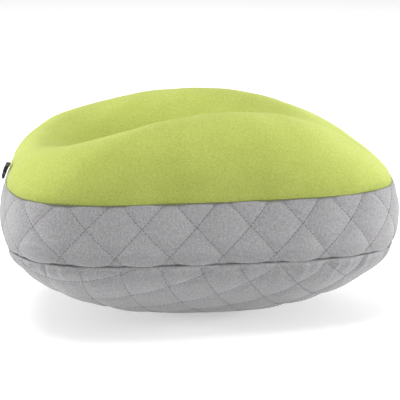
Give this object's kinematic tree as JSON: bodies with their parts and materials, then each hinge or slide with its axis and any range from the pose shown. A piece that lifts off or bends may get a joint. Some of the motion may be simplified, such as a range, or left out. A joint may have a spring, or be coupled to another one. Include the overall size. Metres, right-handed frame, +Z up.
{
  "type": "camp pillow",
  "caption": "Contoured camp pillow with a head hollow in a plush top, a quilted side band and belly, a rear cover zip and a webbing hang loop.",
  "frame": {"origin": "middle of the flat patch that the pillow rests on", "axes": "+Z up, +X along the length towards the narrow end, +Y towards the zip; the head hollow opens towards -X"},
  "size_m": [0.365, 0.306, 0.1921],
  "materials": {
    "green_plush": "matte",
    "grey_jersey": "matte",
    "wadding": "matte",
    "backing": "matte",
    "liner": "matte",
    "foam": "matte",
    "binding": "matte",
    "zip_tape": "matte",
    "zip_resin": "satin",
    "zip_metal": "satin",
    "black_webbing": "matte",
    "label_satin": "satin"
  },
  "bodies": {
    "cover": {"top_panel": "green_plush", "side_band": "grey_jersey", "side_band_wadding": "wadding", "side_band_backing": "backing", "bottom_panel": "grey_jersey", "bottom_panel_wadding": "wadding", "bottom_panel_backing": "backing", "upper_seam_binding": "binding", "lower_seam_binding": "binding", "liner_top": "liner", "liner_bottom": "liner", "foam_core": "foam", "zip_tape_upper": "zip_tape", "zip_tape_lower": "zip_tape", "zip_teeth_upper": "zip_resin", "zip_teeth_lower": "zip_resin", "zip_top_stop_upper": "zip_metal", "zip_top_stop_lower": "zip_metal", "zip_bottom_stop": "zip_metal", "zip_end_tab_left": "grey_jersey", "zip_end_tab_right": "grey_jersey"},
    "zip_slider": {"zip_slider": "zip_metal"},
    "zip_pull": {"zip_pull": "zip_metal"},
    "hang_loop": {"hang_loop": "black_webbing"},
    "care_label": {"care_label": "label_satin"}
  },
  "joints": [
    {"name": "zip_slide", "type": "slide", "parent": "cover", "child": "zip_slider", "axis": [-0.9755, 0.2177, 0.0302], "range_m": [0, 0.13]},
    {"name": "zip_pull_swing", "type": "hinge", "parent": "zip_slider", "child": "zip_pull", "pos_m": [0.063, 0.1208, 0.06877], "axis": [-0.0295, 0.0066, -0.9995], "range_deg": [0, 180]},
    {"name": "hang_loop_flex", "type": "hinge", "parent": "cover", "child": "hang_loop", "pos_m": [-0.179, -0.03945, 0.13069], "axis": [0.0266, -0.9996, -0.0005], "range_deg": [0, 80], "stiffness_Nm_per_rad": 0.002},
    {"name": "care_label_flex", "type": "hinge", "parent": "cover", "child": "care_label", "pos_m": [0.11264, 0.101, 0.06722], "axis": [0.9168, -0.3984, -0.0284], "range_deg": [0, 80]}
  ]
}
